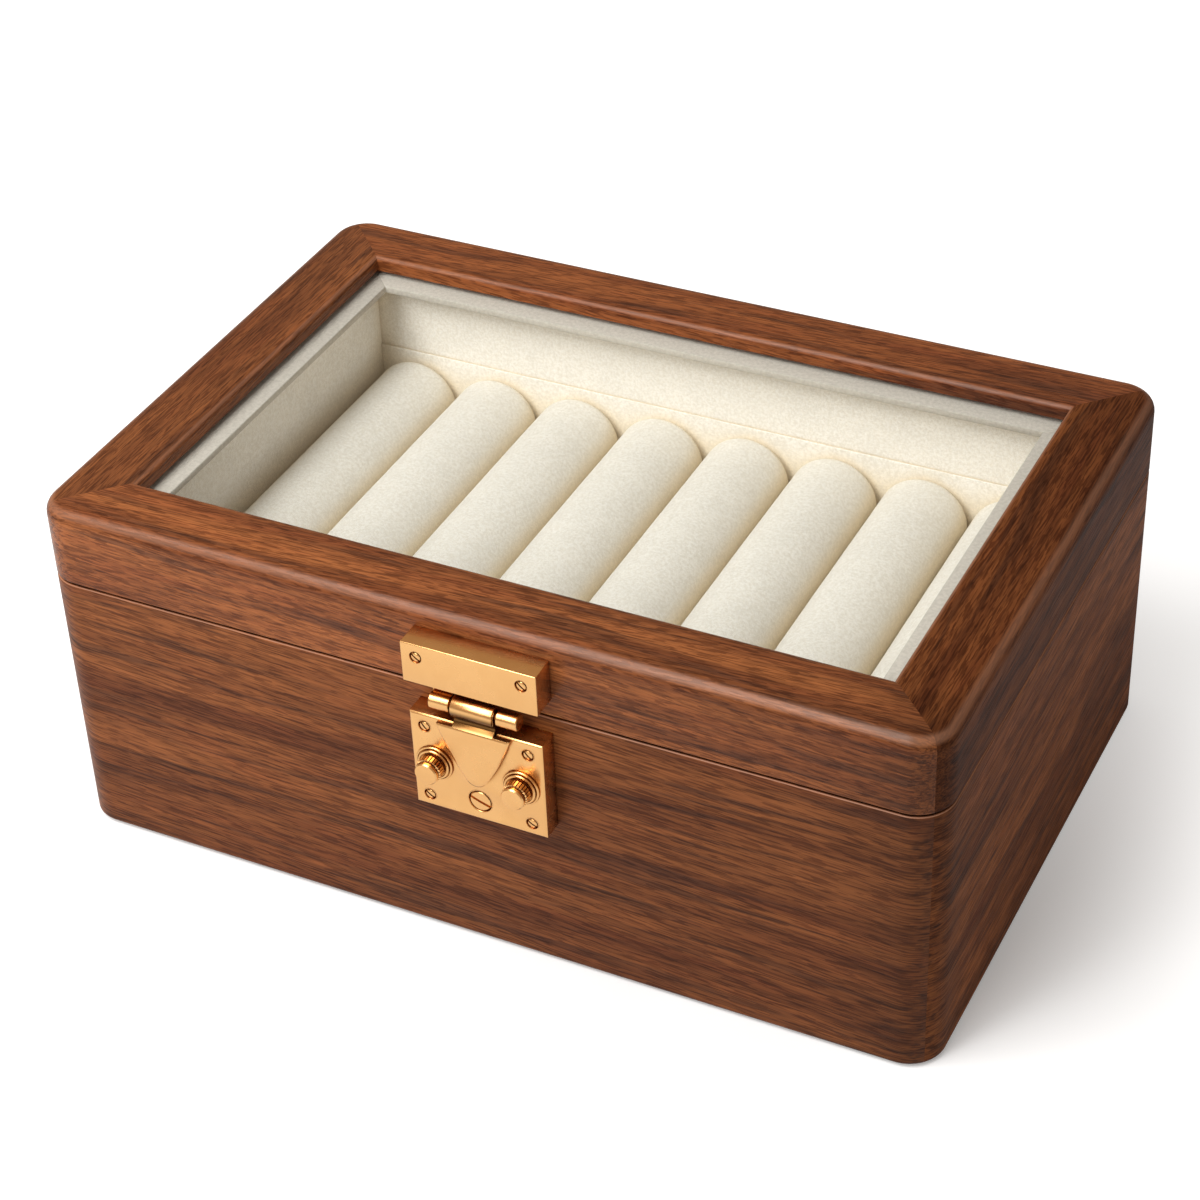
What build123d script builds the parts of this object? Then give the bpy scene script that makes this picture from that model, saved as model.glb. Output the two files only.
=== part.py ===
from build123d import *
from math import cos, radians, sin, sqrt, tan
import os

# Bangle box with a glazed lid, in millimetres. +Z is up, the clasp is on the -Y side,
# and the origin is on the ground under the middle of the box.

# Outside of the closed case
WIDTH = 300.0
DEPTH = 200.0
HEIGHT = 125.0
FELT = 1.0
CORNER_R = 12.0
SEAM_Z = 98.2
SEAM_GAP = 0.4
SEAM_BREAK = 0.4
BASE_EDGE = 2.0
LID_EDGE_R = 5.0

# Walls and lid frame
WALL = 18.0
LID_WALL = 17.2
FRAME_WIDTH = 24.2
WINDOW_EDGE_R = 2.5
GLASS_TOP = 119.65
GLASS = 2.0
GLASS_GAP = 0.2
RETAINER = 2.4
RETAINER_WIDTH = 30.2
PANEL = 6.0
PANEL_REBATE = 8.0
FELT_INSET = 8.0

# Suede-covered lining and the collar that the lid closes over
FLOOR_LINING = 1.5
LINING = 4.0
COLLAR_TOP = 111.0
COLLAR_EDGE = 1.0

# Rolls and the ledges that carry their ends
ROLL_COUNT = 8
ROLL_PITCH = 32.0
ROLL_R = 15.6
ROLL_END = 1.4
ROLL_LENGTH = 151.4
ROLL_Z = 71.5
CORE = 11.0
CORE_GAP = 0.02
RAIL = 6.0
RAIL_BACKING = 2.0
ROLL_GAP = 0.3
BACKING_TOP = 88.6

# Stop hinges let into the back rims
HINGE_X = 95.0
HINGE_LENGTH = 38.0
HINGE_Y = 97.4
LEAF = 2.6
LEAF_DEPTH = 14.0
LEAF_GAP = 0.1
KNUCKLE_R = 2.6
MIDDLE_KNUCKLE = 5.8
OUTER_KNUCKLE = 15.0
KNUCKLE_GAP = 0.2
HINGE_PIN_R = 1.1
TIGHT_FIT = 0.01
FREE_FIT = 0.05
STOP_ANGLE = 95.0
STOP_MARGIN = 0.2
GROOVE_ANGLE = 50.0
HINGE_SCREW_X = 11.0
HINGE_SCREW_Y = 88.4

# Clasp: block on the lid, swinging tongue, lock case on the base
CLASP_X = 7.5
CLASP_EDGE = 0.5
BLOCK_HALF = 22.2
BLOCK_FRONT = 8.7
BLOCK_Z = (104.65, 119.0)
PIVOT_OUT = 6.2
PIVOT_R = 2.7
CLASP_PIN_R = 1.3
TONGUE_KNUCKLE = 7.0
LUG = (7.8, 14.6)
LUG_WEB_Y = (-0.7, 1.8)
CLASP_PIN_INSET = 0.4
TONGUE_TOP = 91.9
TONGUE_POINT = 68.8
TONGUE_TIP_R = 3.7
TONGUE_BOW = 1.2
TONGUE_HALF = 12.15
TONGUE_THICK = 1.9
NECK_THICK = 1.25
TONGUE_EDGE = 0.4
CASE_HALF = 22.1
CASE_FRONT = 7.5
CASE_Z = (57.3, 92.3)
CASE_WALL = 1.5
BACK_PLATE = 1.0
FACE_GAP = 0.1
STAPLE_HALF = 3.2
STAPLE_Z = 75.4
STAPLE_FOOT = 1.6
HOOK_TOP = 81.0
HOOK = 1.5
CHANNEL_SIDE = 0.4
CHANNEL_BELOW = 0.8
CHANNEL_BEHIND = 0.5

# Turn-knobs and their cams
KNOB_X = 14.5
KNOB_Z = 74.8
KNOB_FLANGE_R = 6.0
KNOB_FLANGE = 1.1
KNOB_STEP_R = 5.0
KNOB_STEP = 0.6
KNURL_R = 4.4
KNURL = 3.2
KNURL_DEPTH = 0.4
KNURL_TEETH = 22
KNOB_CAP_R = 3.6
KNOB_CAP = 1.5
KNOB_CAP_EDGE = 0.5
SPINDLE_R = 1.5
SPINDLE_SQUARE = 2.0
CAM_LENGTH = 13.9
CAM_HALF = 1.3
CAM_HUB_R = 2.4
CAM_THICK = 1.2
CAM_OPEN = 80.0
CAM_SHUT = 20.0
RUN_GAP = 0.3

# Screws
CLASP_SCREW = {"head_r": 2.05, "head": 1.1, "shank_r": 1.1}
BLOCK_SCREW_LENGTH = 19.0
CASE_SCREW_LENGTH = 18.0
CLASP_SCREW_X = 17.25
BLOCK_SCREW_Z = 114.4
CASE_SCREW_Z = (61.5, 87.7)
CENTRE_SCREW = {"head_r": 4.0, "head": 1.6, "shank_r": 1.5}
CENTRE_SCREW_LENGTH = 6.0
CENTRE_SCREW_Z = 64.4
HINGE_SCREW = {"shank_r": 1.0}
HINGE_SCREW_LENGTH = 10.0
SHANK_SIDES = 8
SLOT_WIDTH = 0.28
SLOT_DEPTH = 0.45
SCREW_SINK = 0.15
SCREW_FIT = 0.03
BLOCK_SLOTS = (35, -50)
CASE_SLOTS = (20, 70, -25, 55)
CENTRE_SLOT = 15

BASE_TOP = SEAM_Z - SEAM_GAP / 2
LID_BOTTOM = SEAM_Z + SEAM_GAP / 2
FRONT_Y = -DEPTH / 2
PANEL_TOP = FELT + PANEL
LINING_BOTTOM = PANEL_TOP + FLOOR_LINING
PIVOT_Y = FRONT_Y - PIVOT_OUT
CASE_Y = FRONT_Y - CASE_FRONT


def block(x, y, z):
    """A box from its spans along the three axes."""
    spans = (x, y, z)
    return Pos(*[(a + b) / 2 for a, b in spans]) * Box(*[b - a for a, b in spans])


def centred(half_x, half_y, z):
    return block((-half_x, half_x), (-half_y, half_y), z)


def rod(start, axis, radius, length):
    """A round bar from a point, running length along axis."""
    return extrude(Plane(start, z_dir=axis) * Circle(radius), length)


def prism(points, x):
    """A profile of (y, z) points carried along x."""
    return extrude(Plane.YZ.offset(x[0]) * make_face(Polyline(*points, close=True)), x[1] - x[0])


def slab(face, y):
    """A face drawn in (x, z), given its thickness from y[0] to y[1]."""
    return extrude(Plane((0, y[1], 0), x_dir=(1, 0, 0), z_dir=(0, -1, 0)) * face, y[1] - y[0])


def mirrored(shape):
    return mirror(shape, about=Plane.YZ)


def shank(start, axis, size, length, fit=0.0):
    """A screw's shank without its thread, as an eight-sided bar."""
    outline = RegularPolygon(size["shank_r"] + fit, SHANK_SIDES)
    return extrude(Plane(start, z_dir=axis) * outline, length + fit)


def screw(start, axis, size, length, slot_angle):
    """A slotted screw whose head starts a little below the surface point start."""
    place = Plane(start, z_dir=axis)
    head = extrude(place.offset(SCREW_SINK) * Circle(size["head_r"]), size["head"])
    bar = Rot(0, 0, slot_angle) * Rectangle(3 * size["head_r"], SLOT_WIDTH * size["head_r"])
    slot = extrude(place * bar, SCREW_SINK + SLOT_DEPTH * size["head"])
    below = place.offset(size["head"]).origin
    return head - slot + shank(below, axis, size, length - size["head"])


def screw_hole(start, axis, size, length):
    """The counterbore and hole that a screw sits in, open past the surface."""
    place = Plane(start, z_dir=axis)
    depth = size["head"] + SCREW_SINK
    head = extrude(place.offset(-depth) * Circle(size["head_r"] + SCREW_FIT), 2 * depth)
    return head + shank(start, axis, size, length, SCREW_FIT)


def mitre_cut(ring, side):
    """One board of a four-sided frame, cut at 45 degrees through the outer corners."""
    out = 10.0
    x, y = WIDTH / 2 + out, DEPTH / 2 + out
    wedges = {
        "front": ((-x, -y), (x, -y), (0, x - y)),
        "back": ((-x, y), (x, y), (0, y - x)),
        "left": ((-x, -y), (-x, y), (y - x, 0)),
        "right": ((x, -y), (x, y), (x - y, 0)),
    }
    wedge = extrude(make_face(Polyline(*wedges[side], close=True)), HEIGHT + out)
    return ring & wedge


SIDES = ("front", "back", "left", "right")


def rounded_block(z):
    return Pos(0, 0, z[0]) * extrude(RectangleRounded(WIDTH, DEPTH, CORNER_R), z[1] - z[0])


def back_groove():
    """The bevelled notch along the back of the seam that lets the lid swing past upright."""
    reach = DEPTH / 2 + 1 - HINGE_Y
    rise = reach * tan(radians(GROOVE_ANGLE))
    points = ((HINGE_Y, SEAM_Z), (HINGE_Y + reach, SEAM_Z - rise), (HINGE_Y + reach, SEAM_Z + rise))
    return prism(points, (-WIDTH / 2, WIDTH / 2))


def base_ring():
    ring = rounded_block((FELT, BASE_TOP))
    ring = chamfer(ring.faces().sort_by(Axis.Z)[0].edges(), BASE_EDGE)
    ring = chamfer(ring.faces().sort_by(Axis.Z)[-1].edges(), SEAM_BREAK)
    half_x, half_y = WIDTH / 2 - WALL, DEPTH / 2 - WALL
    ring -= centred(half_x, half_y, (0, HEIGHT))
    rebate = PANEL_REBATE
    ring -= centred(half_x + rebate, half_y + rebate, (0, PANEL_TOP))
    return ring - back_groove()


def lid_ring():
    ring = rounded_block((LID_BOTTOM, HEIGHT))
    ring = chamfer(ring.faces().sort_by(Axis.Z)[0].edges(), SEAM_BREAK)
    ring = fillet(ring.faces().sort_by(Axis.Z)[-1].edges(), LID_EDGE_R)
    ring -= centred(WIDTH / 2 - LID_WALL, DEPTH / 2 - LID_WALL, (0, GLASS_TOP))
    half_x, half_y = WIDTH / 2 - FRAME_WIDTH, DEPTH / 2 - FRAME_WIDTH
    ring -= centred(half_x, half_y, (0, HEIGHT + 1))
    top = ring.faces().sort_by(Axis.Z)[-1]
    ring = fillet(top.inner_wires().edges(), WINDOW_EDGE_R)
    return ring - back_groove()


def leaf_mortise(centre, z):
    half = HINGE_LENGTH / 2
    return block((centre - half, centre + half), (HINGE_Y - LEAF_DEPTH, DEPTH / 2 + 1), z)


def hinge_shanks(centre, upper, fit=0.0):
    """The two screws of one leaf, which are in one piece with it, or the holes for them."""
    sign = 1 if upper else -1
    z = SEAM_Z + sign * LEAF_GAP
    starts = [(centre + s * HINGE_SCREW_X, HINGE_SCREW_Y, z) for s in (-1, 1)]
    return [shank(p, (0, 0, sign), HINGE_SCREW, HINGE_SCREW_LENGTH, fit) for p in starts]


def leaf_blank(centre, upper):
    """A hinge leaf before its knuckles: a plate whose end cheeks carry the stop bevels."""
    sign = 1 if upper else -1
    face, back = SEAM_Z + sign * LEAF_GAP, SEAM_Z + sign * (LEAF_GAP + LEAF)
    bevel = radians(STOP_ANGLE / 2 + STOP_MARGIN)
    cheek_y = (LEAF_GAP + LEAF) / tan(bevel)
    points = (
        (HINGE_Y - LEAF_DEPTH, face),
        (HINGE_Y + LEAF_GAP / tan(bevel), face),
        (HINGE_Y + cheek_y, back),
        (HINGE_Y - LEAF_DEPTH, back),
    )
    half = HINGE_LENGTH / 2
    return prism(points, (centre - half, centre + half))


def knuckles(centre, spans):
    return [rod((centre + a, HINGE_Y, SEAM_Z), (1, 0, 0), KNUCKLE_R, b - a) for a, b in spans]


def knuckle_slots(centre, spans):
    reach = KNUCKLE_R + KNUCKLE_GAP
    return [
        block(
            (centre + a - KNUCKLE_GAP, centre + b + KNUCKLE_GAP),
            (HINGE_Y - reach, DEPTH / 2 + 1),
            (SEAM_Z - 2 * LEAF, SEAM_Z + 2 * LEAF),
        )
        for a, b in spans
    ]


MIDDLE_SPANS = ((-MIDDLE_KNUCKLE, MIDDLE_KNUCKLE),)
OUTER_INNER_END = MIDDLE_KNUCKLE + KNUCKLE_GAP
OUTER_SPANS = ((-OUTER_KNUCKLE, -OUTER_INNER_END), (OUTER_INNER_END, OUTER_KNUCKLE))


def hinge_leaf(centre, upper):
    """The lower leaf has the two outer knuckles and holds the pin, the upper has the middle one."""
    own, other = (MIDDLE_SPANS, OUTER_SPANS) if upper else (OUTER_SPANS, MIDDLE_SPANS)
    leaf = leaf_blank(centre, upper)
    for cut in knuckle_slots(centre, other):
        leaf -= cut
    for bar in knuckles(centre, own):
        leaf += bar
    bore = HINGE_PIN_R + (FREE_FIT if upper else TIGHT_FIT)
    leaf -= rod((centre - HINGE_LENGTH, HINGE_Y, SEAM_Z), (1, 0, 0), bore, 2 * HINGE_LENGTH)
    for bar in hinge_shanks(centre, upper):
        leaf += bar
    return leaf


def hinge_pin(centre):
    return rod((centre - OUTER_KNUCKLE, HINGE_Y, SEAM_Z), (1, 0, 0), HINGE_PIN_R, 2 * OUTER_KNUCKLE)


def without_hinges(ring, upper):
    """The back rim with a mortise and two screw holes for the leaf of each hinge."""
    sign = 1 if upper else -1
    depth = sorted((SEAM_Z, SEAM_Z + sign * (LEAF_GAP + LEAF)))
    for centre in (-HINGE_X, HINGE_X):
        ring -= leaf_mortise(centre, depth)
        for bar in hinge_shanks(centre, upper, SCREW_FIT):
            ring -= bar
    return ring


def block_screw_points():
    y = FRONT_Y - BLOCK_FRONT
    return [(CLASP_X + s * CLASP_SCREW_X, y, BLOCK_SCREW_Z) for s in (-1, 1)]


def case_screw_points():
    return [(CLASP_X + s * CLASP_SCREW_X, CASE_Y, z) for s in (-1, 1) for z in CASE_SCREW_Z]


def without_screws(body, points, length):
    """A body with the holes of the clasp screws that start at points."""
    for point in points:
        body -= screw_hole(point, (0, 1, 0), CLASP_SCREW, length)
    return body


def clasp_screws(points, length, slots):
    return compound([screw(p, (0, 1, 0), CLASP_SCREW, length, slot) for p, slot in zip(points, slots)])


def base_boards():
    ring = without_hinges(base_ring(), False)
    half = (CLASP_X - CASE_HALF, CLASP_X + CASE_HALF)
    ring -= block(half, (FRONT_Y - BACK_PLATE, FRONT_Y + BACK_PLATE), CASE_Z)
    ring = without_screws(ring, case_screw_points(), CASE_SCREW_LENGTH)
    return {"base_" + side: mitre_cut(ring, side) for side in SIDES}


def lid_boards():
    ring = without_hinges(lid_ring(), True)
    ring = without_screws(ring, block_screw_points(), BLOCK_SCREW_LENGTH)
    return {"lid_" + side: mitre_cut(ring, side) for side in SIDES}


def glazing():
    """The pane and the four mitred strips that hold it up against the lid frame."""
    half_x, half_y = WIDTH / 2 - LID_WALL, DEPTH / 2 - LID_WALL
    bottom = GLASS_TOP - GLASS
    pane = centred(half_x - GLASS_GAP, half_y - GLASS_GAP, (bottom, GLASS_TOP))
    ring = centred(half_x, half_y, (bottom - RETAINER, bottom))
    ring -= centred(WIDTH / 2 - RETAINER_WIDTH, DEPTH / 2 - RETAINER_WIDTH, (0, HEIGHT))
    pieces = {"retainer_" + side: mitre_cut(ring, side) for side in SIDES}
    pieces["glass_pane"] = pane
    return pieces


def lining():
    half_x, half_y = WIDTH / 2 - WALL, DEPTH / 2 - WALL
    z = (LINING_BOTTOM, COLLAR_TOP)
    front = block((-half_x, half_x), (-half_y, -half_y + LINING), z)
    left = block((-half_x, -half_x + LINING), (-half_y + LINING, half_y - LINING), z)
    front = chamfer(front.edges().filter_by(Axis.X).group_by(Axis.Z)[-1], COLLAR_EDGE)
    left = chamfer(left.edges().filter_by(Axis.Y).group_by(Axis.Z)[-1], COLLAR_EDGE)
    return {
        "floor_lining": centred(half_x, half_y, (PANEL_TOP, LINING_BOTTOM)),
        "lining_front": front,
        "lining_back": mirror(front, about=Plane.XZ),
        "lining_left": left,
        "lining_right": mirrored(left),
    }


def roll_centres():
    first = -(ROLL_COUNT - 1) / 2 * ROLL_PITCH
    return [first + i * ROLL_PITCH for i in range(ROLL_COUNT)]


def roll_rails():
    """Ledges at the front and back that the roll ends lie on, with a covered board behind each."""
    half_x = WIDTH / 2 - WALL - LINING
    outer = -(DEPTH / 2 - WALL - LINING)
    inner = outer + RAIL_BACKING
    ledge = block((-half_x, half_x), (inner, inner + RAIL), (LINING_BOTTOM, ROLL_Z - ROLL_R - ROLL_GAP))
    rail = ledge + block((-half_x, half_x), (outer, inner), (LINING_BOTTOM, BACKING_TOP))
    return {"rail_front": rail, "rail_back": mirror(rail, about=Plane.XZ)}


def roll():
    """A padded sleeve with drawn-in ends, and the square bar that it is stuffed round."""
    half = ROLL_LENGTH / 2
    sleeve = rod((0, -half, 0), (0, 1, 0), ROLL_R, ROLL_LENGTH)
    sleeve = chamfer(sleeve.edges().filter_by(GeomType.CIRCLE), ROLL_END)
    bore = CORE / 2
    bar = bore - CORE_GAP
    sleeve -= centred(bore, half + 1, (-bore, bore))
    return sleeve, centred(bar, half, (-bar, bar))


def clasp_block():
    """The block on the lid, with two lugs below it that hold the tongue's pin."""
    body = block((-BLOCK_HALF, BLOCK_HALF), (FRONT_Y - BLOCK_FRONT, FRONT_Y), BLOCK_Z)
    body = chamfer(body.faces().sort_by(Axis.Y)[0].edges(), CLASP_EDGE)
    web = block(LUG, [PIVOT_Y + y for y in LUG_WEB_Y], (SEAM_Z, BLOCK_Z[0] + 1))
    lug = rod((LUG[0], PIVOT_Y, SEAM_Z), (1, 0, 0), PIVOT_R, LUG[1] - LUG[0]) + web
    body = body + lug + mirrored(lug)
    bore = CLASP_PIN_R + TIGHT_FIT
    body -= rod((-BLOCK_HALF, PIVOT_Y, SEAM_Z), (1, 0, 0), bore, 2 * BLOCK_HALF)
    return without_screws(Pos(CLASP_X, 0, 0) * body, block_screw_points(), BLOCK_SCREW_LENGTH)


def clasp_pin():
    half = LUG[1] - CLASP_PIN_INSET
    return rod((CLASP_X - half, PIVOT_Y, SEAM_Z), (1, 0, 0), CLASP_PIN_R, 2 * half)


def shield():
    """The tongue's outline: straight top and gently bowed sides that meet in a rounded tip."""
    run_z = TONGUE_TOP - TONGUE_POINT
    run = sqrt(TONGUE_HALF**2 + run_z**2)
    middle_x = TONGUE_HALF / 2 + TONGUE_BOW * run_z / run
    middle_z = (TONGUE_TOP + TONGUE_POINT) / 2 - TONGUE_BOW * TONGUE_HALF / run
    left, right, point = (-TONGUE_HALF, TONGUE_TOP), (TONGUE_HALF, TONGUE_TOP), (0, TONGUE_POINT)
    outline = [
        Line(left, right),
        ThreePointArc(right, (middle_x, middle_z), point),
        ThreePointArc(point, (-middle_x, middle_z), left),
    ]
    face = make_face(outline)
    return fillet(face.vertices().sort_by(Axis.Y)[0], TONGUE_TIP_R)


def clasp_tongue():
    """Shield-shaped flap with its knuckle above and the hook behind that the cams close over."""
    back = CASE_Y - FACE_GAP
    flap = slab(shield(), (back - TONGUE_THICK, back))
    flap = chamfer(flap.faces().sort_by(Axis.Y)[0].edges(), TONGUE_EDGE)
    front = PIVOT_Y - PIVOT_R
    half = TONGUE_KNUCKLE
    flap += block((-half, half), (front, front + NECK_THICK), (TONGUE_TOP - NECK_THICK, SEAM_Z))
    flap += rod((-half, PIVOT_Y, SEAM_Z), (1, 0, 0), PIVOT_R, 2 * half)
    flap -= rod((-half, PIVOT_Y, SEAM_Z), (1, 0, 0), CLASP_PIN_R + FREE_FIT, 2 * half)
    hook_back = cam_y()[1] + RUN_GAP + HOOK
    foot = (STAPLE_Z, STAPLE_Z + STAPLE_FOOT)
    flap += block((-STAPLE_HALF, STAPLE_HALF), (back, hook_back), foot)
    flap += block((-STAPLE_HALF, STAPLE_HALF), (hook_back - HOOK, hook_back), (STAPLE_Z, HOOK_TOP))
    return Pos(CLASP_X, 0, 0) * flap


def cam_y():
    start = CASE_Y + CASE_WALL + RUN_GAP
    return (start, start + CAM_THICK)


def arm_outline(angle, length, half):
    """A straight arm from the right-hand knob's axis, pointing inwards at angle above level."""
    arm = Pos(length / 2, 0) * Rectangle(length, 2 * half)
    return Pos(KNOB_X, KNOB_Z) * Rot(0, 0, 180 - angle) * arm


def cam_pocket():
    """The room that one cam sweeps behind the front wall of the lock case."""
    length, half = CAM_LENGTH + RUN_GAP, CAM_HALF + RUN_GAP
    sweep = [
        (KNOB_X - length * cos(radians(a)), KNOB_Z + length * sin(radians(a)))
        for a in (CAM_SHUT, (CAM_SHUT + CAM_OPEN) / 2, CAM_OPEN)
    ]
    centre = (KNOB_X, KNOB_Z)
    fan = make_face([Line(centre, sweep[0]), ThreePointArc(*sweep), Line(sweep[2], centre)])
    room = fan + Pos(KNOB_X, KNOB_Z) * Circle(CAM_HUB_R + RUN_GAP)
    for angle in (CAM_SHUT, CAM_OPEN):
        room += arm_outline(angle, length, half)
    return slab(room, (CASE_Y + CASE_WALL, FRONT_Y))


def lock_case():
    """The case on the base: cam pockets behind its front, and a channel open above for the hook."""
    case = block((-CASE_HALF, CASE_HALF), (CASE_Y, FRONT_Y), CASE_Z)
    case = chamfer(case.faces().sort_by(Axis.Y)[0].edges(), CLASP_EDGE)
    pocket = cam_pocket()
    half = STAPLE_HALF + CHANNEL_SIDE
    channel_back = cam_y()[1] + RUN_GAP + HOOK + CHANNEL_BEHIND
    channel_z = (STAPLE_Z - CHANNEL_BELOW, CASE_Z[1] + 1)
    case = case - pocket - mirrored(pocket)
    case -= block((-half, half), (CASE_Y - 1, channel_back), channel_z)
    bore = SPINDLE_R + FREE_FIT
    for sign in (-1, 1):
        case -= rod((sign * KNOB_X, CASE_Y - 1, KNOB_Z), (0, 1, 0), bore, CASE_FRONT)
    centre = (0, CASE_Y, CENTRE_SCREW_Z)
    case -= screw_hole(centre, (0, 1, 0), CENTRE_SCREW, CENTRE_SCREW_LENGTH)
    return without_screws(Pos(CLASP_X, 0, 0) * case, case_screw_points(), CASE_SCREW_LENGTH)


def lock_back_plate():
    half = (CLASP_X - CASE_HALF, CLASP_X + CASE_HALF)
    plate = block(half, (FRONT_Y, FRONT_Y + BACK_PLATE), CASE_Z)
    return without_screws(plate, case_screw_points(), CASE_SCREW_LENGTH)


def knurled(y):
    """A short drum with straight teeth all round."""
    points = []
    for i in range(2 * KNURL_TEETH):
        angle = radians(180 * i / KNURL_TEETH)
        radius = KNURL_R - KNURL_DEPTH * (i % 2)
        points.append((radius * cos(angle), radius * sin(angle)))
    return slab(make_face(Polyline(*points, close=True)), y)


def turn_knob():
    """Stepped flange, knurled grip and plain cap in front; spindle with a squared end behind."""
    back = CASE_Y - FACE_GAP
    step = back - KNOB_FLANGE
    grip = step - KNOB_STEP
    cap = grip - KNURL
    knob = rod((0, back, 0), (0, -1, 0), KNOB_FLANGE_R, KNOB_FLANGE)
    knob += rod((0, step, 0), (0, -1, 0), KNOB_STEP_R, KNOB_STEP)
    knob += knurled((cap, grip))
    end = rod((0, cap, 0), (0, -1, 0), KNOB_CAP_R, KNOB_CAP)
    knob += chamfer(end.faces().sort_by(Axis.Y)[0].edges(), KNOB_CAP_EDGE)
    cam = cam_y()
    knob += rod((0, back, 0), (0, 1, 0), SPINDLE_R, cam[0] - back)
    return knob + slab(Rectangle(SPINDLE_SQUARE, SPINDLE_SQUARE), cam)


def cam():
    """The right-hand cam in its open position, around its spindle's square."""
    shape = arm_outline(CAM_OPEN, CAM_LENGTH, CAM_HALF) + Pos(KNOB_X, KNOB_Z) * Circle(CAM_HUB_R)
    shape -= Pos(KNOB_X, KNOB_Z) * Rectangle(SPINDLE_SQUARE, SPINDLE_SQUARE)
    return slab(shape, cam_y())


def compound(shapes):
    return Compound(children=[s.solid() for s in shapes])


def assembly():
    parts = {}
    parts.update(base_boards())
    parts.update(lid_boards())
    parts.update(glazing())
    parts.update(lining())
    parts.update(roll_rails())
    panel_x = WIDTH / 2 - WALL + PANEL_REBATE
    panel_y = DEPTH / 2 - WALL + PANEL_REBATE
    parts["bottom_panel"] = centred(panel_x, panel_y, (FELT, PANEL_TOP))
    parts["base_felt"] = centred(WIDTH / 2 - FELT_INSET, DEPTH / 2 - FELT_INSET, (0, FELT))
    sleeve, core = roll()
    for number, x in enumerate(roll_centres(), start=1):
        parts[f"roll_{number}"] = Pos(x, 0, ROLL_Z) * sleeve
        parts[f"core_{number}"] = Pos(x, 0, ROLL_Z) * core
    for name, centre in (("left", -HINGE_X), ("right", HINGE_X)):
        parts[f"hinge_{name}_lower_leaf"] = hinge_leaf(centre, False)
        parts[f"hinge_{name}_upper_leaf"] = hinge_leaf(centre, True)
    parts["hinge_pins"] = compound([hinge_pin(-HINGE_X), hinge_pin(HINGE_X)])
    parts["clasp_block"] = clasp_block()
    parts["clasp_block_screws"] = clasp_screws(block_screw_points(), BLOCK_SCREW_LENGTH, BLOCK_SLOTS)
    parts["clasp_pin"] = clasp_pin()
    parts["clasp_tongue"] = clasp_tongue()
    parts["lock_case"] = lock_case()
    parts["lock_back_plate"] = lock_back_plate()
    parts["lock_screws"] = clasp_screws(case_screw_points(), CASE_SCREW_LENGTH, CASE_SLOTS)
    centre = (CLASP_X, CASE_Y, CENTRE_SCREW_Z)
    parts["lock_centre_screw"] = screw(
        centre, (0, 1, 0), CENTRE_SCREW, CENTRE_SCREW_LENGTH, CENTRE_SLOT
    )
    knob = turn_knob()
    for name, sign in (("left", -1), ("right", 1)):
        parts[f"{name}_knob"] = Pos(CLASP_X + sign * KNOB_X, 0, KNOB_Z) * knob
        arm = cam() if sign == 1 else mirrored(cam())
        parts[f"{name}_cam"] = Pos(CLASP_X, 0, 0) * arm
    return parts


def main():
    os.makedirs("parts", exist_ok=True)
    for name, shape in assembly().items():
        export_step(shape, f"parts/{name}.step")


main()
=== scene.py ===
from math import cos, pi, radians, sin, tan

import bmesh
import bpy
from mathutils import Matrix, Vector, noise


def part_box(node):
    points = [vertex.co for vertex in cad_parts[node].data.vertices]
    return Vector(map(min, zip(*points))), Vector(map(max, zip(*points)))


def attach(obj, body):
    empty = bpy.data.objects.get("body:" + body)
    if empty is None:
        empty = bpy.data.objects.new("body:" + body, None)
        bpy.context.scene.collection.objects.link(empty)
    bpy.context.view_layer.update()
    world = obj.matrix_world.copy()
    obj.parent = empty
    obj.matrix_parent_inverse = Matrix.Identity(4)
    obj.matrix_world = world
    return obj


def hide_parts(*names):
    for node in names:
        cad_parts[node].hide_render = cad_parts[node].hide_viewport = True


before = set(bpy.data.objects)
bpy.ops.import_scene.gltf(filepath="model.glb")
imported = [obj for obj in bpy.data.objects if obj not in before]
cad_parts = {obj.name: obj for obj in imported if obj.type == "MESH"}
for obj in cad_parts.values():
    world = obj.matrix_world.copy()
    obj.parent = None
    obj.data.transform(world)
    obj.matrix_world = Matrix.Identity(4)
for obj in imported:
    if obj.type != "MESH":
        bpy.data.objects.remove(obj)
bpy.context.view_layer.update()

# Lengths are millimetres until a mesh is made; lamps are placed in metres
MM = 0.001
SIDES = ("front", "back", "left", "right")


def low(node):
    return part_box(node)[0] / MM


def high(node):
    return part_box(node)[1] / MM


def middle(node):
    return (low(node) + high(node)) / 2


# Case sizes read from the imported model
HALF_X = high("base_right").x
HALF_Y = high("base_back").y
BASE_Z = (low("base_front").z, high("base_front").z)
LID_Z = (low("lid_front").z, high("lid_front").z)
SEAM_Z = (BASE_Z[1] + LID_Z[0]) / 2
WALL = high("base_front").y - low("base_front").y
LID_WALL = HALF_Y + low("retainer_front").y
FRAME_WIDTH = high("lid_front").y - low("lid_front").y
GLASS_TOP = high("glass_pane").z
PANEL_TOP = high("bottom_panel").z
PANEL_EDGE = HALF_X - high("bottom_panel").x

# Roundings and breaks of the boards' edges
CORNER_R = 12.0
LID_EDGE_R = 5.0
WINDOW_EDGE_R = 2.5
BASE_EDGE_R = 0.9
SEAM_BREAK = 0.35
RIM_BREAK = 0.7
# The base's outer rim is lowered and grooved, so that the seam shows as a dark line
RIM_DROP = 0.5
RIM_GROOVE = (0.8, 2.2)
ARC_STEPS = 8
# A point this far beside a rounding keeps the flat face next to it flat
HOLD = 0.4

# Hinges at the back of the seam
HINGES = ("hinge_left", "hinge_right")
HINGE_Y = middle("hinge_pins").y
LEAF_POCKET = 2.7
GROOVE_ANGLE = 50.0

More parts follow.
